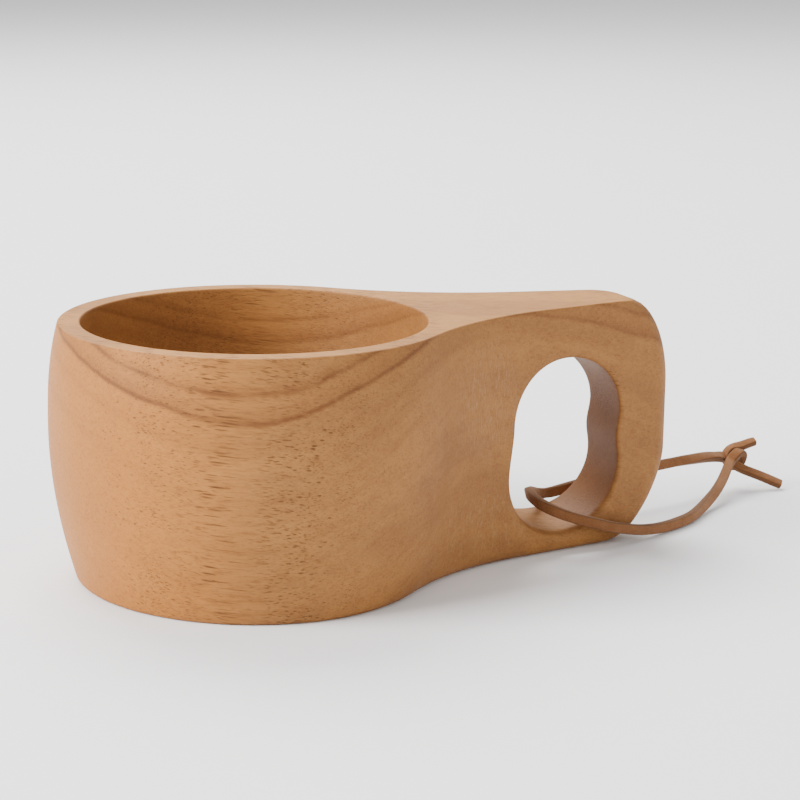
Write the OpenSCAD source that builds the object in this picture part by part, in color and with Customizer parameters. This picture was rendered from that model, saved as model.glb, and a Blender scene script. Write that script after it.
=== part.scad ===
// Kuksa: a drinking cup carved from one block of wood, with a leather lace
// threaded through its finger opening. Millimetres, +Z up. The origin is on
// the bowl's axis, on the flat base; the handle points along +X.

/* [Bowl] */
// Height of the cup, base to flat rim
cup_height = 63.4; // [56:0.2:72]
// Largest outside radius of the barrel-shaped bowl
belly_radius = 50.2; // [48:0.2:53]
// Height of the largest radius above the base
belly_height = 38; // [32:1:42]
// Outside radius at the rim
rim_radius = 47.5; // [46.5:0.1:48]
// Outside radius where the bowl stands
base_radius = 43.8; // [41:0.2:45]
// Radius of the mouth, inside the rim
mouth_radius = 42; // [38:0.5:43]
// Thickness of the floor in the middle of the bowl
floor_thickness = 8.5; // [6:0.5:12]

/* [Handle] */
// Distance from the bowl's axis to the end of the handle
handle_reach = 111.6; // [109:0.2:115]
// Half the handle's width at handle_gauge
handle_half_width = 9.4; // [8.6:0.1:10]
// Distance from the bowl's axis where the half width is measured
handle_gauge = 93; // [90:1:96]
// Angle at which each side narrows towards the end
handle_taper = 10.8; // [8:0.2:12]
// Radius of the hollow that blends each side into the bowl
blend_radius = 80; // [70:1:90]
// Radius of the end's upright corners
corner_radius = 5; // [3:0.5:6]

/* [Finger opening] */
// Distance from the bowl's axis to the middle of the opening
opening_x = 78.7; // [78:0.1:79.5]
// Half the opening's length
opening_half_length = 16.8; // [15:0.1:17]
// Height of the upper lobe's centre
upper_lobe_z = 35; // [34:0.5:36]
// Height of the lower lobe's centre
lower_lobe_z = 21.7; // [21.6:0.1:22.4]
// Half the height of each lobe
lobe_half_height = 16; // [14:0.2:16]

/* [Lace] */
// Width of the leather strip
lace_d = 3.2; // [2.4:0.1:3.2]
// Thickness of the leather strip
lace_t = 2.6; // [2:0.1:3]

/* [Hidden] */
wood = "#c99a6b";
leather = "#8a5733";
levels = 15;             // slices between the eased edges
bowl_steps = 46;         // points round the bowl in a slice
blend_steps = 7;         // points in each blending hollow
corner_steps = 4;        // points round each corner of the end

// Heights of the end's upper and lower bends, and how far each draws back
end_top_bend = 40;
end_low_bend = 23.5;
end_top_draw = 14;
end_low_draw = 17;
// Rounding of the foot's edge and of the rim's edge
foot_round = 1.6;
rim_round = 0.5;

// Outside radius of the bowl at a height: a full belly, drawn in more
// towards the base than towards the rim
function bowl_r(z) = z < belly_height
    ? belly_radius - (belly_radius - base_radius) * pow((belly_height - z) / belly_height, 1.9)
    : belly_radius - (belly_radius - rim_radius) * pow((z - belly_height) / (cup_height - belly_height), 2.7);

// Inside radius: straight below the mouth, then a full rounded bottom
inner_straight_z = cup_height - 9;
inner_depth = inner_straight_z - floor_thickness;
function inner_r(z) = mouth_radius * pow(max(0, 1 - pow((inner_straight_z - z) / inner_depth, 2.6)), 1 / 2.6);

// How far an oval bend of a given fullness draws back, from 0 at t = 0 to 1 at t = 1
function drawn(t, fullness) = 1 - pow(max(0, 1 - pow(max(0, t), fullness)), 1 / fullness);

// Where the handle ends at a height
function end_x(z) = handle_reach
    - end_top_draw * drawn((z - end_top_bend) / (cup_height - end_top_bend), 2)
    - end_low_draw * drawn(1 - z / end_low_bend, 1.6);

// How far every side stands in at the rounded edges of the foot and the rim
function eased(z) = foot_round * drawn(1 - z / foot_round, 2)
    + rim_round * drawn(1 - (cup_height - z) / rim_round, 2);

function arc(c, r, a0, a1, n) = [for (i = [0 : n]) let (a = a0 + (a1 - a0) * i / n) c + r * [cos(a), sin(a)]];
function mirrored(p) = [for (i = [len(p) - 1 : -1 : 0]) [p[i][0], -p[i][1]]];

// One side's line: its outward normal and its distance from the axis
side_n = [sin(handle_taper), cos(handle_taper)];
side_t = [cos(handle_taper), -sin(handle_taper)];
side_d = side_n * [handle_gauge, handle_half_width];

// Half of the outline at a height, from the handle's nose to the back of the
// bowl: corner of the end, straight side, blending hollow, round of the bowl
function half_outline(z) =
    let (in = eased(z), r = bowl_r(z) - in, xe = end_x(z) - in, side_c = side_d - in,
         // corner arc, tangent to the nose and to the side line
         cx = xe - corner_radius,
         cy = (side_c - corner_radius - side_n[0] * cx) / side_n[1],
         // blending arc, tangent to the side line and to the bowl
         h = side_c + blend_radius,
         bc = side_n * h + side_t * sqrt(pow(r + blend_radius, 2) - h * h),
         a_bowl = atan2(bc[1], bc[0]))
    concat(
        [[xe, 0]],
        arc([cx, cy], corner_radius, 0, 90 - handle_taper, corner_steps),
        arc(bc, blend_radius, 270 - handle_taper, 180 + a_bowl, blend_steps),
        [for (i = [1 : bowl_steps / 2]) let (a = a_bowl + (180 - a_bowl) * i / (bowl_steps / 2)) r * [cos(a), sin(a)]]);

function outline(z) = let (h = half_outline(z), m = mirrored(h)) concat(h, [for (i = [1 : len(m) - 2]) m[i]]);

// Slices crowd towards the base and the rim, where the end curves most
slices = concat(
    [0, foot_round * 0.3],
    [for (i = [0 : levels]) foot_round + (cup_height - rim_round - foot_round) * (1 - cos(180 * i / levels)) / 2],
    [cup_height]);

// A closed skin through equal rings of points, capped at both ends
module skin(rings) {
    n = len(rings[0]);
    m = len(rings);
    polyhedron(
        points = [for (ring = rings) each ring],
        faces = concat(
            [[for (j = [0 : n - 1]) j]],
            [for (i = [0 : m - 2], j = [0 : n - 1]) let (k = (j + 1) % n) [i * n + j, (i + 1) * n + j, i * n + k]],
            [for (i = [0 : m - 2], j = [0 : n - 1]) let (k = (j + 1) % n) [(i + 1) * n + j, (i + 1) * n + k, i * n + k]],
            [[for (j = [n - 1 : -1 : 0]) (m - 1) * n + j]]));
}

module outside() {
    skin([for (z = slices) [for (p = outline(z)) [p[0], p[1], z]]]);
}

module inside() {
    n = 16;
    rotate_extrude($fn = 96)
        polygon(concat(
            [[0, cup_height + 1], [0, floor_thickness]],
            [for (i = [1 : n]) let (z = floor_thickness + inner_depth * (1 - cos(90 * i / n))) [inner_r(z), z]],
            [[mouth_radius, cup_height + 1]]));
}

// One lobe of the finger opening, as an upright oval run through the handle
module lobe(z) {
    n = 44;
    translate([opening_x, 0, z])
        rotate([90, 0, 0])
            linear_extrude(height = 60, center = true)
                polygon([for (i = [0 : n - 1]) let (a = 360 * i / n) [opening_half_length * cos(a), lobe_half_height * sin(a)]]);
}

// The waist between the lobes, where they would meet in a sharp cusp
module waist() {
    half = opening_half_length - 0.6;
    translate([opening_x - half, -30, lower_lobe_z])
        cube([2 * half, 60, upper_lobe_z - lower_lobe_z]);
}

module cup() {
    color(wood)
        difference() {
            outside();
            inside();
            lobe(upper_lobe_z);
            lobe(lower_lobe_z);
            waist();
        }
}

// The lace is one strip. It leaves the opening behind the end post, and from
// there one run goes back through the opening, over its near lip, down to the
// table and round to the knot, and the other goes straight to the knot.
front_route = [
    [93, 13, 10.7], [90, 11.8, 10.7], [87, 10.2, 10.8], [84.5, 8.5, 11], [81.5, 6, 11.4],
    [78.5, 3, 12], [76, 0, 12.4], [75, -3, 12.6], [75.2, -6, 12.3], [76.8, -8.5, 11.5],
    [79, -10.3, 10.3], [82.5, -12, 8.9], [87, -12.8, 7.3], [92, -12.8, 5.8], [97, -11.8, 4.5],
    [103, -9.3, 3], [110, -5.8, 1.9], [116, -3, 1.7], [122.5, 0.8, 1.7], [128.5, 6, 1.8],
    [134, 11, 2.5], [139, 15.5, 3.8], [143.5, 20, 5.2], [147, 23.8, 6.6], [150, 27, 8.2]];
back_route = [
    [93, 13, 10.7], [98, 14.6, 10.6], [103, 15.8, 10.6], [108.5, 17.2, 10.7], [113.5, 18.4, 10.8],
    [119, 19.8, 10.9], [124.5, 21.3, 10.9], [129, 22.6, 10.9], [133, 23.9, 10.8], [137, 25.2, 10.6],
    [140.5, 26.4, 10.4], [143.5, 27.5, 10.1], [146, 28.4, 9.7], [148.5, 29.1, 9.2], [151, 29.4, 8.6]];
// Centre of the knot, the turn of its ring, and the ends of its two tails
knot_at = [152.7, 29.4, 8.5];
knot_turn = [0, 108, 0];
long_tail_end = [163.9, 22, 1.5];
short_tail_start = [153.5, 29.7, 11.2];
short_tail_end = [158.7, 28.5, 13];

function unit(v) = v / norm(v);
// Direction of a route at one of its points
function along(route, i) = unit(route[min(i + 1, len(route) - 1)] - route[max(i - 1, 0)]);
// Ring of 8 points across the route, its first axis level
function ring_at(route, i) =
    let (t = along(route, i), u = unit(cross([0, 0, 1], t)), v = cross(t, u))
    [for (k = [0 : 7]) route[i] + lace_d / 2 * (cos(45 * k + 22.5) * u + sin(45 * k + 22.5) * v)];

module lace_run(route) {
    color(leather) skin([for (i = [0 : len(route) - 1]) ring_at(route, i)]);
}

module lace_front() {
    lace_run(front_route);
}

module lace_back() {
    lace_run(back_route);
}

// The knot: a round turn of the front run about the back run
module lace_knot() {
    color(leather)
        translate(knot_at) rotate(knot_turn) {
            rotate_extrude($fn = 32) translate([2.5, 0]) circle(r = 1.5, $fn = 20);
            cylinder(r = 2.6, h = 2.6, center = true, $fn = 32);
        }
}

// A straight length of the strip from one point to another, its broad faces
// across the slope
module strip(start, end) {
    d = end - start;
    translate(start)
        rotate([0, acos(d[2] / norm(d)), atan2(d[1], d[0])])
            translate([-lace_t / 2, -lace_d / 2, 0]) cube([lace_t, lace_d, norm(d)]);
}

module lace_tail_long() {
    color(leather) strip(knot_at + 2 * unit(long_tail_end - knot_at), long_tail_end);
}

module lace_tail_short() {
    color(leather) strip(short_tail_start, short_tail_end);
}

cup();
lace_front();
lace_back();
lace_knot();
lace_tail_long();
lace_tail_short();
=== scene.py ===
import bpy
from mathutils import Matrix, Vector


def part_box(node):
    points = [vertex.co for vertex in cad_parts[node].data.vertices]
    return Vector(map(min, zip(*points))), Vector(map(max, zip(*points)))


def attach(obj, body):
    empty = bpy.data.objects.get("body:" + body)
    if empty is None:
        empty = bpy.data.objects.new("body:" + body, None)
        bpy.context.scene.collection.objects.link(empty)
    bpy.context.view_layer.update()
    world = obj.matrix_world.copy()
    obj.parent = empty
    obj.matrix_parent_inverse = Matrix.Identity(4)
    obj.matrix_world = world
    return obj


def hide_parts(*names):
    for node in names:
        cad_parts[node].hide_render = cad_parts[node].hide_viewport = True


bl_info = {
    "name": "Kuksa cup",
    "version": (1, 0, 0),
    "blender": (4, 5, 0),
    "location": "View3D > Sidebar > Kuksa",
    "description": "A drinking cup carved from one block of wood, with a suede lace through its handle",
    "category": "Add Mesh",
}

import math

import bmesh
import bpy
from bpy.props import FloatProperty, FloatVectorProperty, PointerProperty
from mathutils import Vector

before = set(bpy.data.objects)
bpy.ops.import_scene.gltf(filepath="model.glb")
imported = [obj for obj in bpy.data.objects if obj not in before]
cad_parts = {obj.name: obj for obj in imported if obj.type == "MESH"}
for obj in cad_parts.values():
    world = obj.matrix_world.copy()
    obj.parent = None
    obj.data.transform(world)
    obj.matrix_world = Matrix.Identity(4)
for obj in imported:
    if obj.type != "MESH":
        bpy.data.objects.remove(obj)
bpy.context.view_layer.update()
CUP_LOW, CUP_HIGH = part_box("cup")
MM = 0.001
# The grain's direction in the cup, and how far it is turned from the handle
GRAIN = (0.912, -0.410, 0.0)
GRAIN_TURN = math.radians(24.2)
# Steps of the lace's smooth line from one stop to the next
LACE_STEPS = 6

# The lace's two runs, from where they meet behind the end post to the knot.
# The front run goes back through the opening, over its near lip and round on
# the table; the back run goes straight. Each stop is a place and a lean, the
# angle in degrees by which the strip's broad face tips up from upright.
FRONT_RUN = [
    ((0.093, 0.0136, 0.0094), 0), ((0.0905, 0.0133, 0.0091), -3), ((0.0878, 0.0129, 0.0088), -10),
    ((0.085, 0.0121, 0.0089), -18), ((0.0822, 0.0104, 0.0096), -22), ((0.0795, 0.0077, 0.0108), -22),
    ((0.077, 0.0043, 0.012), -18), ((0.0751, 0.0003, 0.0127), -10), ((0.0742, -0.0039, 0.0127), -3),
    ((0.0748, -0.0077, 0.0119), 0), ((0.0773, -0.0105, 0.0106), 0), ((0.0815, -0.0121, 0.009), 0),
    ((0.087, -0.0128, 0.0073), 0), ((0.092, -0.0128, 0.0058), 0), ((0.097, -0.0118, 0.0045), 0),
    ((0.103, -0.0093, 0.003), 0), ((0.110, -0.0058, 0.0019), 0), ((0.116, -0.003, 0.0017), 0),
    ((0.1225, 0.0008, 0.0017), 2), ((0.1285, 0.006, 0.0019), 8), ((0.134, 0.011, 0.0026), 25),
    ((0.139, 0.0155, 0.0038), 45), ((0.1435, 0.020, 0.0052), 60), ((0.147, 0.0238, 0.0067), 70),
    ((0.150, 0.027, 0.0082), 76),
]
BACK_RUN = [
    ((0.093, 0.0136, 0.0094), 0), ((0.098, 0.0146, 0.0099), 0), ((0.103, 0.0158, 0.0103), 0),
    ((0.1085, 0.0172, 0.0106), 0), ((0.1135, 0.0184, 0.0108), 4), ((0.119, 0.0198, 0.0109), 8),
    ((0.1245, 0.0213, 0.0109), 12), ((0.129, 0.0226, 0.0109), 18), ((0.133, 0.0239, 0.0108), 26),
    ((0.137, 0.0252, 0.0106), 36), ((0.1405, 0.0264, 0.0104), 46), ((0.1435, 0.0275, 0.0101), 54),
    ((0.146, 0.0284, 0.0097), 60),
]
# The knot, in millimetres across, up and towards the front, from its middle.
# The end of the front run goes over the back run, folds down behind it, comes
# up at the left and over its own fold, and ends as the short tail.
KNOT_MIDDLE = (0.1528, 0.0294, 0.0086)
KNOT_ACROSS = (0.943, -0.332, 0.0)
KNOT_UP = (0.0741, 0.2105, 0.9748)
KNOT_TOWARDS = (-0.3236, -0.9192, 0.2233)
# Each stop: place, then the way the broad face looks, then width and thickness
KNOT_TURN = [
    ((-0.7, 0.3, 2.4), (-0.4, 0.3, 0.9), 2.8, 2.1),
    ((0.5, 1.4, 2.1), (-0.2, 0.6, 0.8), 2.7, 2.0),
    ((1.6, 1.6, 1.2), (0.3, 0.9, 0.3), 2.6, 1.9),
    ((2.3, 0.9, 0.0), (0.8, 0.6, -0.1), 2.6, 1.8),
    ((2.3, -0.5, -1.0), (0.9, -0.2, -0.4), 2.5, 1.7),
    ((1.6, -1.7, -1.5), (0.4, -0.7, -0.6), 2.5, 1.7),
    ((0.2, -2.3, -1.4), (-0.1, -0.8, -0.6), 2.5, 1.7),
    ((-1.3, -2.1, -0.7), (-0.5, -0.8, -0.2), 2.5, 1.7),
    ((-2.3, -1.1, 0.5), (-0.8, -0.5, 0.3), 2.5, 1.7),
    ((-2.6, 0.3, 1.0), (-0.8, 0.1, 0.6), 2.5, 1.8),
    ((-2.1, 1.6, 0.9), (-0.6, 0.6, 0.6), 2.5, 1.8),
    ((-1.1, 2.5, 0.6), (-0.4, 0.8, 0.5), 2.6, 1.8),
    ((0.2, 3.0, 0.5), (-0.3, 0.8, 0.6), 2.6, 1.8),
    ((1.6, 3.3, 0.6), (-0.3, 0.7, 0.7), 2.6, 1.8),
    ((3.0, 3.8, 0.6), (-0.3, 0.7, 0.7), 2.5, 1.8),
    ((4.4, 4.3, 0.5), (-0.3, 0.7, 0.7), 2.4, 1.8),
    ((5.5, 4.6, 0.3), (-0.3, 0.7, 0.7), 2.2, 1.8),
]
# The back run's way through the knot and out as the long tail
KNOT_THROUGH = [
    ((-4.1, 0.3, 1.6), (0.0, 0.5, 0.9), 2.8, 2.1),
    ((-2.5, -0.1, 0.8), (0.0, 0.5, 0.9), 2.7, 2.0),
    ((-0.9, -1.2, 0.3), (0.1, 0.5, 0.9), 2.6, 1.9),
    ((0.9, -2.4, 0.2), (0.2, 0.5, 0.8), 2.6, 1.8),
    ((2.7, -3.3, 0.2), (0.2, 0.6, 0.7), 2.6, 1.8),
    ((5.0, -4.2, 0.3), (0.2, 0.6, 0.7), 2.6, 1.8),
    ((7.6, -5.2, 0.3), (0.2, 0.6, 0.7), 2.6, 1.8),
    ((10.2, -6.3, 0.3), (0.2, 0.6, 0.7), 2.6, 1.8),
    ((12.8, -7.4, 0.3), (0.2, 0.6, 0.7), 2.5, 1.8),
]


class KuksaSizes(bpy.types.PropertyGroup):
    """Sizes of the cup and its lace"""

    height: FloatProperty(
        name="Height", description="Height from the table to the flat rim",
        default=CUP_HIGH[2], unit="LENGTH")
    belly: FloatProperty(
        name="Belly radius", description="Largest outside radius of the bowl",
        default=-CUP_LOW[0], unit="LENGTH")
    belly_height: FloatProperty(
        name="Belly height", description="Height of the largest radius above the table",
        default=0.038, unit="LENGTH")
    rim: FloatProperty(
        name="Rim radius", description="Outside radius of the bowl at the rim",
        default=0.0475, unit="LENGTH")
    foot: FloatProperty(
        name="Foot radius", description="Outside radius of the bowl at the table",
        default=0.0438, unit="LENGTH")
    mouth: FloatProperty(
        name="Mouth radius", description="Inside radius at the rim",
        default=0.042, unit="LENGTH")
    floor: FloatProperty(
        name="Floor thickness", description="Thickness of the wood under the bowl's inside",
        default=0.0085, unit="LENGTH")
    reach: FloatProperty(
        name="Handle reach", description="Distance from the bowl's axis to the end of the handle",
        default=CUP_HIGH[0], unit="LENGTH")
    half_width: FloatProperty(
        name="Handle half width", description="Half the handle's width, 93 mm from the bowl's axis",
        default=0.0094, unit="LENGTH")
    taper: FloatProperty(
        name="Handle taper", description="Angle at which each side narrows towards the end",
        default=math.radians(10.8), unit="ROTATION")
    hollow: FloatProperty(
        name="Hollow radius", description="Radius of the hollow between each side and the bowl",
        default=0.08, unit="LENGTH")
    corner: FloatProperty(
        name="Corner radius", description="Radius of the end's upright corners",
        default=0.005, unit="LENGTH")
    lip: FloatProperty(
        name="Lip rounding", description="Rounding of the finger opening's edges",
        default=0.0011, unit="LENGTH")
    strip_width: FloatProperty(
        name="Lace width", description="Width of the suede strip",
        default=0.0027, unit="LENGTH")
    strip_thickness: FloatProperty(
        name="Lace thickness", description="Thickness of the suede strip",
        default=0.0021, unit="LENGTH")
    lace_length: FloatProperty(
        name="Front run length", description="Length of the lace's front run, from behind the end post to the knot",
        default=0.1245, unit="LENGTH")
    back_length: FloatProperty(
        name="Back run length", description="Length of the lace's back run, from behind the end post to the knot",
        default=0.0615, unit="LENGTH")


class KuksaColours(bpy.types.PropertyGroup):
    """Colours of the wood and the suede"""

    wood_light: FloatVectorProperty(
        name="Light wood", description="Palest of the wood's tones",
        default=(0.365, 0.160, 0.041), subtype="COLOR", size=3, min=0, max=1)
    wood_mid: FloatVectorProperty(
        name="Middle wood", description="Most of the wood",
        default=(0.262, 0.113, 0.032), subtype="COLOR", size=3, min=0, max=1)
    wood_warm: FloatVectorProperty(
        name="Warm wood", description="Warm bands that follow the growth rings",
        default=(0.235, 0.090, 0.024), subtype="COLOR", size=3, min=0, max=1)
    ring_line: FloatVectorProperty(
        name="Ring line", description="Dark lines where growth stopped",
        default=(0.115, 0.036, 0.009), subtype="COLOR", size=3, min=0, max=1)
    pore: FloatVectorProperty(
        name="Pores", description="Open pores cut along or across",
        default=(0.075, 0.026, 0.008), subtype="COLOR", size=3, min=0, max=1)
    suede: FloatVectorProperty(
        name="Suede", description="Broad faces of the lace",
        default=(0.185, 0.074, 0.027), subtype="COLOR", size=3, min=0, max=1)
    suede_edge: FloatVectorProperty(
        name="Cut edge", description="Cut edges of the lace",
        default=(0.055, 0.022, 0.009), subtype="COLOR", size=3, min=0, max=1)


# ---------------------------------------------------------------- shader help


class Value:
    """A number socket that takes part in sums."""

    def __init__(self, paint, socket):
        self.paint, self.socket = paint, socket

    def sum(self, operation, *terms):
        return self.paint.add("ShaderNodeMath", {"operation": operation}, dict(enumerate(terms)))["Value"]

    def __add__(self, other):
        return self.sum("ADD", self, other)

    def __sub__(self, other):
        return self.sum("SUBTRACT", self, other)

    def __mul__(self, other):
        return self.sum("MULTIPLY", self, other)

    def __truediv__(self, other):
        return self.sum("DIVIDE", self, other)

    def __pow__(self, other):
        return self.sum("POWER", self, other)

    def __abs__(self):
        return self.sum("ABSOLUTE", self)

    def __rsub__(self, other):
        return self.sum("SUBTRACT", other, self)

    __radd__ = __add__
    __rmul__ = __mul__

    def root(self):
        return self.sum("SQRT", self)

    def largest(self, other):
        return self.sum("MAXIMUM", self, other)

    def smallest(self, other):
        return self.sum("MINIMUM", self, other)

    def step(self, start, end):
        """0 before start, 1 after end and a smooth rise between; end may come first."""
        low, high, top = (start, end, (0.0, 1.0)) if start < end else (end, start, (1.0, 0.0))
        return self.paint.add(
            "ShaderNodeMapRange", {"interpolation_type": "SMOOTHSTEP"},
            {"Value": self, "From Min": low, "From Max": high, "To Min": top[0], "To Max": top[1]})["Result"]

    def bell(self, middle, width):
        """1 at the middle, falling to 0 at a width either side."""
        return abs(self - middle).step(width, 0.0)


class Paint:
    """One material's node tree."""

    def __init__(self, name):
        self.material = bpy.data.materials.new(name)
        self.material.use_nodes = True
        self.tree = self.material.node_tree
        self.tree.nodes.clear()

    def add(self, kind, settings=None, inputs=None):
        """A node of a type, with its settings, then the values or links of its sockets. Gives its outputs by name."""
        node = self.tree.nodes.new(kind)
        for key, value in (settings or {}).items():
            setattr(node, key, value)
        sockets = [s for s in node.inputs if s.enabled]
        for key, value in (inputs or {}).items():
            socket = node.inputs[key] if isinstance(key, int) else next(s for s in sockets if s.name == key)
            if isinstance(value, Value):
                value = value.socket
            if isinstance(value, bpy.types.NodeSocket):
                self.tree.links.new(value, socket)
            else:
                socket.default_value = (*value, 1.0) if socket.type == "RGBA" and len(value) == 3 else value
        return {s.name: Value(self, s) if s.type == "VALUE" else s for s in node.outputs if s.enabled}

    def noise(self, vector, scale=1.0, detail=2.0, roughness=0.5, distortion=0.0):
        return self.add("ShaderNodeTexNoise", {"noise_dimensions": "3D"}, {
            "Vector": vector, "Scale": scale, "Detail": detail, "Roughness": roughness,
            "Distortion": distortion})["Fac"]

    def vector(self, x, y, z):
        return self.add("ShaderNodeCombineXYZ", {}, {"X": x, "Y": y, "Z": z})["Vector"]

    def mix(self, factor, first, second, blend="MIX"):
        return self.add("ShaderNodeMix", {"data_type": "RGBA", "blend_type": blend, "clamp_factor": True}, {
            "Factor": factor, "A": first, "B": second})["Result"]

    def bump(self, height, distance, strength):
        return self.add("ShaderNodeBump", {}, {"Height": height, "Distance": distance, "Strength": strength})["Normal"]

    def finish(self, inputs):
        shader = self.add("ShaderNodeBsdfPrincipled", {}, inputs)["BSDF"]
        self.add("ShaderNodeOutputMaterial", {}, {"Surface": shader})
        return self.material


def wood_paint(colours):
    """Pale, oiled hardwood: growth rings round a grain that runs nearly along the handle, with open pores."""
    p = Paint("oiled wood")
    place = p.add("ShaderNodeTexCoord")
    # Millimetres, turned so that X runs along the grain
    turned = p.add("ShaderNodeMapping", {"vector_type": "POINT"}, {
        "Vector": place["Object"], "Scale": (1000, 1000, 1000), "Rotation": (0, 0, GRAIN_TURN)})["Vector"]
    along, across, up = p.add("ShaderNodeSeparateXYZ", {}, {"Vector": turned}).values()

    # Rings round the heart, which lies below and beside the bowl
    sway = p.noise(p.vector(along * 0.018, across * 0.03, up * 0.03), detail=2) - 0.5
    ripple = p.noise(p.vector(along * 0.09, across * 0.16, up * 0.16), detail=2) - 0.5
    side, rise = across + 4.5, up + 11.1
    ring = (side * side + rise * rise).root() + sway * 5.0 + ripple * 0.9
    turn = p.add("ShaderNodeMath", {"operation": "ARCTAN2"}, {0: side, 1: rise})["Value"] * 60.0

    bands = p.noise(p.vector(along * 0.006, ring * 0.12, turn * 0.02), detail=2, roughness=0.5)
    figure = p.noise(p.vector(along * 0.02, ring * 0.75, turn * 0.08), detail=3, roughness=0.6)
    cloud = p.noise(p.vector(along * 0.03, across * 0.07, up * 0.07), detail=4, roughness=0.6)
    fibre = p.noise(p.vector(along * 0.13, across * 1.6, up * 1.6 + along * 0.12), detail=4, roughness=0.7)
    fine = p.noise(p.vector(along * 0.5, across * 4.0, up * 4.0), detail=3, roughness=0.7)

    colour = p.mix(bands.step(0.36, 0.62) * 0.65, colours.wood_mid, colours.wood_light)
    colour = p.mix(figure.step(0.46, 0.75) * 0.5, colour, colours.wood_warm)
    colour = p.mix(cloud.step(0.45, 0.75) * 0.5, colour, colours.wood_light)
    colour = p.mix(cloud.step(0.45, 0.25) * 0.4, colour, colours.wood_warm)
    mottle = p.noise(p.vector(along * 0.11, across * 0.4, up * 0.4 + along * 0.03), detail=5, roughness=0.65)
    colour = p.mix(mottle.step(0.5, 0.7) * 0.4, colour, colours.wood_warm)
    colour = p.mix(mottle.step(0.48, 0.3) * 0.35, colour, colours.wood_light)

    # Painted light: the bowl's outside is painted warmer and paler on the side away from the handle, the side that
    # faces the key light
    x, y, z = p.add("ShaderNodeSeparateXYZ", {}, {"Vector": place["Object"]}).values()
    hollow = (x * x + y * y).root().step(0.0423, 0.0419)
    colour = p.mix(x.step(-0.008, -0.044) * (1.0 - hollow) * 0.7, colour, (0.42, 0.15, 0.018))
    # Painted light: the flat upper face is painted paler and more orange, for its look in the light from above
    upward = p.add("ShaderNodeSeparateXYZ", {}, {"Vector": place["Normal"]})["Z"].step(0.85, 0.98)
    colour = p.mix(upward * (1.0 - hollow) * 0.6, colour, (0.50, 0.225, 0.045))

    # Two soft dark lines, warm wood between them, and fainter lines beside them
    waver = p.noise(p.vector(along * 0.06, turn * 0.12, 3.0), detail=3)
    broken = p.noise(p.vector(along * 0.12, turn * 0.2, 9.0), detail=3).step(0.35, 0.65)
    colour = p.mix(ring.bell(78.4, 4.6) * 0.35, colour, colours.wood_warm)
    lines = (ring.bell(75.9, 0.9) * 0.6 + ring.bell(76.7, 2.4) * 0.32) * (waver.step(0.15, 0.6) * 0.4 + 0.6)
    lines = lines + (ring.bell(80.6, 0.8) * 0.6 + ring.bell(81.2, 2.2) * 0.3) * (broken * 0.5 + 0.5)
    lines = lines + ring.bell(84.6, 1.2) * broken * 0.2 + ring.bell(70.4, 1.8) * 0.12 + ring.bell(62.0, 1.8) * 0.10
    softer = (1.0 - hollow * 0.55) * (1.0 - upward * 0.75) * (1.0 - x.step(0.05, 0.075) * 0.35)
    colour = p.mix(lines.smallest(0.85) * softer, colour, colours.ring_line)

    # Fibres: streaks along the grain
    colour = p.mix(fibre.step(0.46, 0.72) * 0.34, colour, colours.ring_line)
    colour = p.mix(fibre.step(0.48, 0.26) * 0.35, colour, colours.wood_light)
    colour = p.mix(fine.step(0.48, 0.72) * 0.34, colour, colours.pore)

    # Open pores: spindles along the grain, strewn in drifts
    drift = p.noise(p.vector(along * 0.03, across * 0.1, up * 0.14), detail=2).step(0.3, 0.6)
    pores = None
    for length, width, size, share in (
            (15.0, 0.58, 0.26, 0.9), (9.0, 0.42, 0.25, 0.8), (4.0, 0.5, 0.22, 0.6), (22.0, 1.1, 0.2, 1.0)):
        cells = p.add("ShaderNodeTexVoronoi", {"voronoi_dimensions": "3D", "feature": "F1"}, {
            "Vector": p.vector(along / length, across / width, (up + along * 0.09) / width),
            "Scale": 1.0, "Randomness": 1.0})
        chance = p.add("ShaderNodeSeparateColor", {}, {"Color": cells["Color"]})["Red"]
        spindle = cells["Distance"].step(size * 1.3, size * 0.5) * chance.step(0.2, 0.75) * share
        pores = spindle if pores is None else pores.largest(spindle)
    pores = pores * (drift * 0.65 + 0.35)

    # Cut across the grain, pores are faint dots and the wood drinks more oil
    facing = p.add("ShaderNodeVectorMath", {"operation": "DOT_PRODUCT"}, {
        0: place["Normal"], 1: GRAIN})["Value"]
    across_grain = abs(facing)
    pores = pores * (1.0 - across_grain.step(0.2, 0.8) * 0.62)
    pores = pores * (1.0 - hollow * 0.5) * (1.0 - x.step(0.035, 0.06) * 0.35)
    colour = p.mix(pores * 0.9, colour, colours.pore)
    colour = p.mix(across_grain.step(0.35, 1.0) * 0.12, colour, colours.wood_warm)

    # The opening's wall is end grain for the most part, handled often, and dark with oil
    wall = (abs(y) + (x - 0.093) * 0.19).step(0.0091, 0.0085) * x.step(0.0590, 0.0600) * x.step(0.0975, 0.0965)
    wall = wall * z.step(0.0040, 0.0048) * z.step(0.0525, 0.0517)
    colour = p.mix(wall * (across_grain * 0.45 + 0.2), colour, (0.13, 0.042, 0.010))

    # Chalky sanding marks in the hollow of the near side
    spot = (((x - 0.052) / 0.016) ** 2.0 + ((z - 0.044) / 0.018) ** 2.0).step(1.0, 0.0) * y.step(-0.008, -0.016)
    low_spot = (((x - 0.050) / 0.03) ** 2.0 + ((z - 0.012) / 0.012) ** 2.0).step(1.0, 0.0) * y.step(-0.008, -0.016)
    chalk = p.noise(p.vector(x * 1500.0, y * 1500.0, z * 420.0), detail=4, roughness=0.7).step(0.45, 0.75)
    colour = p.mix(chalk * (spot * 0.26 + low_spot * 0.2), colour, (0.50, 0.33, 0.19))

    height = fibre * 0.3 + fine * 0.15 - pores * 0.9
    normal = p.bump(height, 0.0003, 0.5)
    rough = 0.52 + fibre * 0.12 - cloud * 0.05 + pores * 0.15
    return p.finish({
        "Base Color": colour, "Roughness": rough, "Normal": normal, "IOR": 1.45,
        "Specular IOR Level": 0.24})


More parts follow.
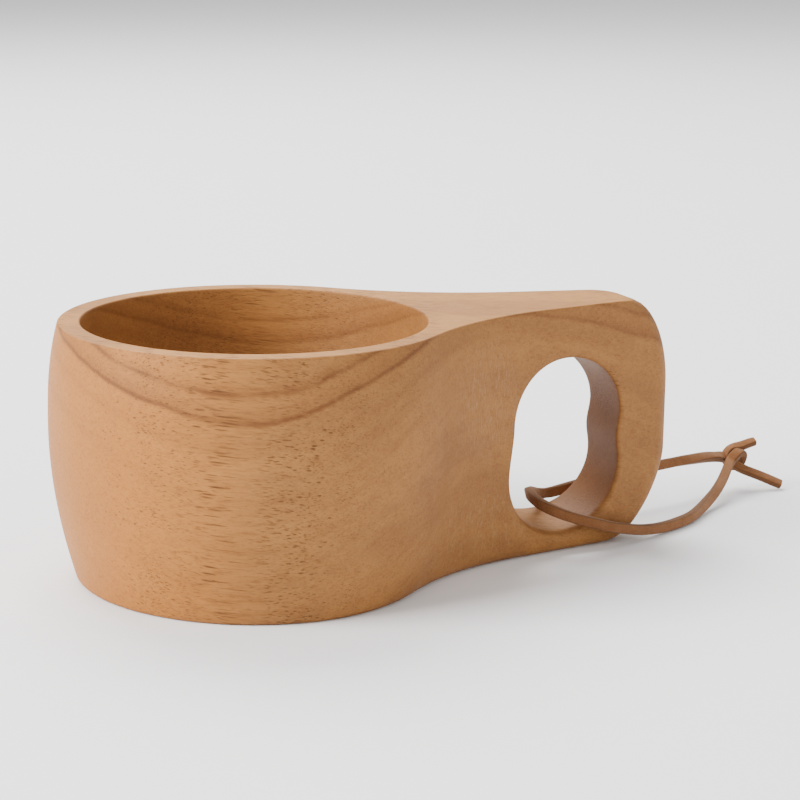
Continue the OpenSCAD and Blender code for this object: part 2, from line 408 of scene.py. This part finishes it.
def suede_paint(colours):
    """Brown suede: a short nap on the broad faces, darker cut edges."""
    p = Paint("brown suede")
    place = p.add("ShaderNodeTexCoord")["Object"]
    edge = p.add("ShaderNodeAttribute", {"attribute_name": "edge", "attribute_type": "GEOMETRY"})["Fac"]
    nap = p.noise(place, 2600.0, detail=4, roughness=0.7)
    patch = p.noise(place, 260.0, detail=3, roughness=0.6)
    hair = p.noise(place, 7000.0, detail=2, roughness=0.7)
    colour = p.mix(patch.step(0.35, 0.7) * 0.5, colours.suede, (0.25, 0.108, 0.043))
    colour = p.mix(nap.step(0.5, 0.8) * 0.45, colour, (0.31, 0.155, 0.075))
    colour = p.mix(nap.step(0.5, 0.2) * 0.45, colour, colours.suede_edge)
    colour = p.mix(edge.step(0.25, 0.8) * 0.55, colour, colours.suede_edge)
    normal = p.bump(nap * 0.7 + hair * 0.3, 0.00018, 0.6)
    return p.finish({
        "Base Color": colour, "Roughness": 0.95, "Normal": normal, "Specular IOR Level": 0.15,
        "Sheen Weight": 0.25, "Sheen Roughness": 0.5, "Sheen Tint": (0.9, 0.68, 0.5, 1.0)})


# ---------------------------------------------------------------- mesh help


def ring_of(mesh, points):
    """A closed ring through points, started as a circle. Gives its vertices in order and its edges."""
    verts = bmesh.ops.create_circle(mesh, segments=len(points), radius=1)["verts"]
    for vert, point in zip(verts, points):
        vert.co = point
    return verts, list({edge for vert in verts for edge in vert.link_edges})


def loft(mesh, rings):
    """Bridges rings one after another and closes both ends. Gives the rings' vertices."""
    made = [ring_of(mesh, points) for points in rings]
    for (_, first), (_, second) in zip(made, made[1:]):
        bmesh.ops.bridge_loops(mesh, edges=first + second)
    for verts, edges in (made[0], made[-1]):
        bmesh.ops.contextual_create(mesh, geom=edges)
        for edge in edges:
            edge.smooth = False
    bmesh.ops.recalc_face_normals(mesh, faces=mesh.faces)
    return [verts for verts, _ in made]


def lathe(mesh, profile, steps):
    """Spins a profile of (radius, height) round the upright axis."""
    verts = [mesh.verts.new((radius, 0, height)) for radius, height in profile]
    edges = [mesh.edges.new(pair) for pair in zip(verts, verts[1:])]
    bmesh.ops.spin(
        mesh, geom=verts + edges, cent=(0, 0, 0), axis=(0, 0, 1), angle=2 * math.pi, steps=steps, use_merge=True)
    bmesh.ops.remove_doubles(mesh, verts=mesh.verts, dist=1e-6)
    bmesh.ops.recalc_face_normals(mesh, faces=mesh.faces)


def piece(name, mesh, material):
    """Turns a bmesh into an object of the scene."""
    data = bpy.data.meshes.new(name)
    mesh.to_mesh(data)
    mesh.free()
    for face in data.polygons:
        face.use_smooth = True
    if material is not None:
        data.materials.append(material)
    made = bpy.data.objects.new(name, data)
    bpy.context.scene.collection.objects.link(made)
    return made


def carve(block, cutters):
    """Takes the cutters' shapes out of the block and removes the cutters."""
    for cutter in cutters:
        cut = block.modifiers.new("cut", "BOOLEAN")
        cut.operation, cut.solver, cut.object = "DIFFERENCE", "EXACT", cutter
    bpy.context.view_layer.update()
    carved = bpy.data.meshes.new_from_object(block.evaluated_get(bpy.context.evaluated_depsgraph_get()))
    block.modifiers.clear()
    rough, block.data = block.data, carved
    carved.name = block.name
    bpy.data.meshes.remove(rough)
    for cutter in cutters:
        data = cutter.data
        bpy.data.objects.remove(cutter)
        bpy.data.meshes.remove(data)


# ---------------------------------------------------------------- the cup


def drawn(t, fullness):
    """How far an oval bend has drawn back, from 0 at its start to 1 at its end."""
    return 1 - max(0.0, 1 - max(0.0, t) ** fullness) ** (1 / fullness)


def smooth(t):
    t = min(1.0, max(0.0, t))
    return t * t * (3 - 2 * t)


def bowl_radius(s, z):
    if z < s.belly_height:
        return s.belly - (s.belly - s.foot) * ((s.belly_height - z) / s.belly_height) ** 1.9
    return s.belly - (s.belly - s.rim) * ((z - s.belly_height) / (s.height - s.belly_height)) ** 2.7


def end_reach(s, z):
    return (s.reach - 0.014 * drawn((z - 0.040) / (s.height - 0.040), 2)
            - 0.017 * drawn(1 - z / 0.0235, 1.6))


def side_of(s, z):
    """The hollow between the handle's side and the bowl at a height: its centre and the side line's distance."""
    out = Vector((math.sin(s.taper), math.cos(s.taper)))
    back = Vector((math.cos(s.taper), -math.sin(s.taper)))
    line = out.dot(Vector((0.093, s.half_width)))
    reach = line + s.hollow
    centre = out * reach + back * math.sqrt((bowl_radius(s, z) + s.hollow) ** 2 - reach * reach)
    return out, line, centre


def side_at(s, x, z):
    """Half the handle's width at a place."""
    out, line, centre = side_of(s, z)
    touch = centre.x - s.hollow * out.x
    if x > touch:
        return (line - out.x * x) / out.y
    return centre.y - math.sqrt(max(0.0, s.hollow ** 2 - (x - centre.x) ** 2))


def half_outline(s, z):
    """Half the cup's outline at a height, from the handle's nose round the far side to the back of the bowl."""
    out, line, hollow = side_of(s, z)
    end = end_reach(s, z)
    x = end - s.corner
    corner = Vector((x, (line - s.corner - out.x * x) / out.y))
    points = [Vector((end, corner.y * k / 4)) for k in range(5)]
    for k in range(1, 13):
        a = (math.pi / 2 - s.taper) * k / 12
        points.append(corner + s.corner * Vector((math.cos(a), math.sin(a))))
    touch = hollow - s.hollow * out
    start = points[-1]
    points += [start.lerp(touch, k / 22) for k in range(1, 23)]
    bearing = math.atan2(hollow.y, hollow.x)
    first, last = 1.5 * math.pi - s.taper, math.pi + bearing
    for k in range(1, 37):
        a = first + (last - first) * k / 36
        points.append(hollow + s.hollow * Vector((math.cos(a), math.sin(a))))
    radius = bowl_radius(s, z)
    for k in range(1, 91):
        a = bearing + (math.pi - bearing) * k / 90
        points.append(radius * Vector((math.cos(a), math.sin(a))))
    return points


def outline(s, z):
    """The whole outline at a height, standing in where the foot's and the rim's edges are rounded."""
    half = half_outline(s, z)
    points = half + [Vector((p.x, -p.y)) for p in half[-2:0:-1]]
    count = len(points)
    ring = []
    for i, point in enumerate(points):
        way = points[(i + 1) % count] - points[i - 1]
        outward = Vector((way.y, -way.x)).normalized()
        # The foot's edge is crisp under the front of the bowl and soft under the handle
        foot = MM * (1.1 + 2.3 * smooth((point.x + 0.002) / 0.05))
        step_in = foot * drawn(1 - z / foot, 2) + 0.00045 * drawn(1 - (s.height - z) / 0.00045, 2)
        inner = point - outward * step_in
        ring.append((inner.x, inner.y, z))
    return ring


def inside_profile(s):
    """The bowl's inside from its floor to above the mouth, with the mouth's edge rounded."""
    straight = s.height - 0.009
    depth = straight - s.floor
    profile = [(0.0, s.floor)]
    for k in range(1, 41):
        a = math.pi / 2 * k / 40
        z = s.floor + depth * (1 - math.cos(a))
        profile.append((s.mouth * max(0.0, 1 - ((straight - z) / depth) ** 2.6) ** (1 / 2.6), z))
    edge = 0.0005
    profile += [(s.mouth, straight + (s.height - edge - straight) * k / 6) for k in range(1, 7)]
    for k in range(1, 6):
        a = math.radians(90 - 78 * k / 5)
        profile.append((s.mouth + edge * (1 - math.sin(a)), s.height - edge * (1 - math.cos(a))))
    radius, z = profile[-1]
    return profile + [(radius + 0.001, z + 0.0002), (radius + 0.001, s.height + 0.004), (0.0, s.height + 0.004)]


def opening_outline():
    """The finger opening seen from the side, in metres: an upper and a lower lobe and a slight waist."""
    points = []
    for k in range(61):
        a = math.pi * k / 60
        points.append((0.0791 + 0.0166 * math.cos(a), 0.035 + 0.0154 * math.sin(a)))
    for k in range(1, 12):
        t = k / 12
        points.append((0.0625 + (0.0613 - 0.0625) * smooth(t), 0.035 - 0.013 * t))
    for k in range(61):
        a = math.pi + math.pi * k / 60
        points.append((0.0784 + 0.0171 * math.cos(a), 0.022 + 0.0163 * math.sin(a)))
    for k in range(1, 12):
        t = k / 12
        points.append((0.0955 + 0.0002 * t - 0.0007 * math.sin(math.pi * t) ** 2, 0.022 + 0.013 * t))
    return [Vector(p) for p in points]


def opening_cutter(s):
    """The finger opening's cutter, flared at both ends so that its lips come out rounded."""
    shape = opening_outline()
    count = len(shape)
    outward = []
    for i in range(count):
        way = shape[(i + 1) % count] - shape[i - 1]
        outward.append(Vector((way.y, -way.x)).normalized())

    def lip_at(i, near):
        # The near lip is eased most along the bottom, where the lace runs over it
        point = shape[i]
        low = smooth((0.016 - point.y) / 0.010)
        return s.lip + (0.0016 * low if near else 0.0004 * low)

    def station(sign, spread, depth):
        """One ring: spread and depth are functions of the lip's rounding."""
        ring = []
        for i in range(count):
            lip = lip_at(i, sign < 0)
            flat = shape[i] + outward[i] * spread(lip)
            ring.append((flat.x, sign * (side_at(s, flat.x, min(s.height, max(0.0, flat.y))) - depth(lip)), flat.y))
        return ring

    angles = [math.radians(10 + 80 * k / 7) for k in range(8)]
    flare = [(lambda lip, a=a: lip * (1 - math.sin(a)), lambda lip, a=a: lip * (1 - math.cos(a))) for a in angles]
    beyond = [(lambda lip: lip * (1 - math.sin(angles[0])) + 0.001, lambda lip: -0.006),
              (lambda lip: lip * (1 - math.sin(angles[0])) + 0.001, lambda lip: -0.0002)]
    inward = beyond + flare
    near = [station(-1, spread, depth) for spread, depth in inward]
    far = [station(1, spread, depth) for spread, depth in reversed(inward)]
    middle = []
    for k in range(1, 8):
        middle.append([tuple(a + (b - a) * k / 8 for a, b in zip(p, q)) for p, q in zip(near[-1], far[0])])
    return near + middle + far


def make_cup(s, colours):
    levels = [0, 0.00008, 0.0003, 0.0006, 0.001, 0.0014, 0.0019, 0.0025, 0.0031, 0.0038]
    levels += [0.0038 + (s.height - 0.00045 - 0.0038) * k / 46 for k in range(1, 47)]
    levels += [s.height - 0.0003, s.height - 0.00016, s.height - 0.00005, s.height]
    block_mesh = bmesh.new()
    loft(block_mesh, [outline(s, z) for z in levels])
    block = piece("carved_cup", block_mesh, wood_paint(colours))

    bowl_mesh = bmesh.new()
    lathe(bowl_mesh, inside_profile(s), 180)
    opening_mesh = bmesh.new()
    loft(opening_mesh, opening_cutter(s))
    carve(block, [piece("bowl_cutter", bowl_mesh, None), piece("opening_cutter", opening_mesh, None)])

    # The rim and the foot are dead flat
    for face in block.data.polygons:
        face.use_smooth = abs(face.normal.z) < 0.9999 or 0.0005 < face.center.z < s.height - 0.0005
    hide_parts("cup")
    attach(block, "cup_body")
    return block


# ---------------------------------------------------------------- the lace


def between(stops, count):
    """A smooth line of values through stops, each a tuple of vectors and numbers, with count steps per stop."""
    made = []
    for i in range(len(stops) - 1):
        a, b = stops[max(0, i - 1)], stops[i]
        c, d = stops[i + 1], stops[min(len(stops) - 1, i + 2)]
        for k in range(count):
            t = k / count
            made.append(tuple(
                0.5 * ((2 * q) + (r - p) * t + (2 * p - 5 * q + 4 * r - w) * t * t + (3 * q - p - 3 * r + w) * t ** 3)
                for p, q, r, w in zip(a, b, c, d)))
    return made + [stops[-1]]


def leaning(run, width, thickness):
    """Stops of a run: place, broad face's outlook, width and thickness."""
    stops = []
    for i, (place, lean) in enumerate(run):
        way = (Vector(run[min(i + 1, len(run) - 1)][0]) - Vector(run[max(i - 1, 0)][0])).normalized()
        aside = way.cross(Vector((0, 0, 1))).normalized()
        above = aside.cross(way)
        lean = math.radians(lean)
        stops.append((Vector(place), aside * math.cos(lean) + above * math.sin(lean), width, thickness))
    return stops


def in_knot(stops):
    across, up, towards = Vector(KNOT_ACROSS), Vector(KNOT_UP), Vector(KNOT_TOWARDS)

    def turned(v):
        return across * v[0] + up * v[1] + towards * v[2]

    return [(Vector(KNOT_MIDDLE) + turned(place) * MM, turned(look).normalized(), width * MM, thickness * MM)
            for place, look, width, thickness in stops]


def strip(name, stops, material, cut_end=False):
    """A strip of suede swept through stops, with rounded edges. Gives the piece and its centreline."""
    mesh = bmesh.new()
    layer = mesh.verts.layers.float.new("edge")
    count = len(stops)
    sections = []
    for i, (place, look, width, thickness) in enumerate(stops):
        way = (stops[min(i + 1, count - 1)][0] - stops[max(i - 1, 0)][0]).normalized()
        look = (look - way * look.dot(way)).normalized()
        wide = way.cross(look)
        sections.append((place, way, look, wide, width, thickness))
    # A cut end is drawn in by a hair over its last fraction of a millimetre
    if cut_end:
        place, way, look, wide, width, thickness = sections[-1]
        sections.append((place + way * 0.0002, way, look, wide, width * 0.93, thickness * 0.91))
    rings, edges_of = [], []
    for place, way, look, wide, width, thickness in sections:
        bend = min(width, thickness) * 0.24
        ring, worn = [], []
        for sx, sy, start in ((1, 1, 0), (-1, 1, 90), (-1, -1, 180), (1, -1, 270)):
            for k in range(4):
                a = math.radians(start + 30 * k)
                u = sx * (width / 2 - bend) + bend * math.cos(a)
                v = sy * (thickness / 2 - bend) + bend * math.sin(a)
                ring.append(place + wide * u + look * v)
                worn.append(abs(math.cos(a)))
        rings.append(ring)
        edges_of.append(worn)
    made = loft(mesh, rings)
    for verts, worn in zip(made, edges_of):
        for vert, value in zip(verts, worn):
            vert[layer] = value
    made = piece(name, mesh, material)
    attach(made, "lace")
    return made, [tuple(stop[0]) for stop in stops]


def make_lace(s, colours):
    suede = suede_paint(colours)
    # From behind the end post to the tip of the short tail
    front = leaning(FRONT_RUN, s.strip_width, s.strip_thickness)
    turn = in_knot(KNOT_TURN)
    whole = between(front + turn, LACE_STEPS)
    split = (len(front) - 1) * LACE_STEPS
    front_run, front_path = strip("front_run", whole[:split + 1], suede)
    knot, _ = strip("knot", whole[split:], suede, cut_end=True)
    # From behind the end post to the tip of the long tail
    back = leaning(BACK_RUN, s.strip_width, s.strip_thickness)
    whole = between(back + in_knot(KNOT_THROUGH), LACE_STEPS)
    split = (len(back) + 2) * LACE_STEPS
    back_run, back_path = strip("back_run", whole[:split + 1], suede)
    tail, _ = strip("long_tail", whole[split:], suede, cut_end=True)
    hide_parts("lace_front")
    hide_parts("lace_back")
    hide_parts("lace_knot", "lace_tail_short")
    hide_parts("lace_tail_long")


# ---------------------------------------------------------------- operators


class KUKSA_OT_stage(bpy.types.Operator):
    """Sets the floor, the lights and the camera"""

    bl_idname = "kuksa.stage"
    bl_label = "Stage"

    def execute(self, context):
        scene = context.scene
        camera = bpy.data.objects.new("camera", bpy.data.cameras.new("camera"))
        scene.collection.objects.link(camera)
        camera.location = (-0.1802, -0.5157, 0.1683)
        camera.rotation_euler = (math.radians(90 - 12.9), 0, math.radians(-19.4))
        camera.data.sensor_width = 36
        camera.data.lens = 103.5
        camera.data.shift_x = 0.1754
        scene.camera = camera

        floor_mesh = bmesh.new()
        bmesh.ops.create_grid(floor_mesh, x_segments=2, y_segments=2, size=4.0)
        p = Paint("pale floor")
        floor = piece("floor", floor_mesh, p.finish({
            "Base Color": (0.93, 0.93, 0.93), "Roughness": 0.9, "Specular IOR Level": 0.0}))

        for name, place, aim, size, power in (
                ("key", (-1.3, -0.05, 0.8), (0.0, 0, 0.03), 0.8, 50.0),
                ("fill", (0.7, -1.4, 0.7), (0.03, 0, 0.03), 1.2, 7.0),
                ("back", (0.1, 1.0, 1.4), (0.03, 0, 0.03), 1.2, 44.0)):
            light = bpy.data.lights.new(name, "AREA")
            light.size, light.energy = size, power
            lamp = bpy.data.objects.new(name, light)
            scene.collection.objects.link(lamp)
            lamp.location = place
            lamp.rotation_euler = (Vector(aim) - Vector(place)).to_track_quat("-Z", "Y").to_euler()

        world = bpy.data.worlds.new("studio")
        scene.world = world
        world.use_nodes = True
        world.node_tree.nodes["Background"].inputs["Color"].default_value = (1, 1, 1, 1)
        world.node_tree.nodes["Background"].inputs["Strength"].default_value = 0.8
        return {"FINISHED"}


class KUKSA_OT_cup(bpy.types.Operator):
    """Carves the cup: bowl, handle and finger opening from one block"""

    bl_idname = "kuksa.cup"
    bl_label = "Carved cup"

    def execute(self, context):
        make_cup(context.scene.kuksa_sizes, context.scene.kuksa_colours)
        return {"FINISHED"}


class KUKSA_OT_lace(bpy.types.Operator):
    """Threads the suede lace and ties its knot"""

    bl_idname = "kuksa.lace"
    bl_label = "Suede lace"

    def execute(self, context):
        make_lace(context.scene.kuksa_sizes, context.scene.kuksa_colours)
        return {"FINISHED"}


class KUKSA_PT_panel(bpy.types.Panel):
    """Sizes, colours and makers of the kuksa"""

    bl_label = "Kuksa"
    bl_space_type = "VIEW_3D"
    bl_region_type = "UI"
    bl_category = "Kuksa"

    def draw(self, context):
        column = self.layout.column()
        for group in (context.scene.kuksa_sizes, context.scene.kuksa_colours):
            for name in group.__annotations__:
                column.prop(group, name)
        for operator in (KUKSA_OT_stage, KUKSA_OT_lace, KUKSA_OT_cup):
            column.operator(operator.bl_idname)


CLASSES = (KuksaSizes, KuksaColours, KUKSA_OT_stage, KUKSA_OT_lace, KUKSA_OT_cup, KUKSA_PT_panel)


def register():
    for cls in CLASSES:
        bpy.utils.register_class(cls)
    bpy.types.Scene.kuksa_sizes = PointerProperty(type=KuksaSizes)
    bpy.types.Scene.kuksa_colours = PointerProperty(type=KuksaColours)


def unregister():
    del bpy.types.Scene.kuksa_colours
    del bpy.types.Scene.kuksa_sizes
    for cls in reversed(CLASSES):
        bpy.utils.unregister_class(cls)


def main():
    register()
    bpy.ops.kuksa.stage()
    bpy.ops.kuksa.lace()
    bpy.ops.kuksa.cup()


if __name__ == "__main__":
    main()
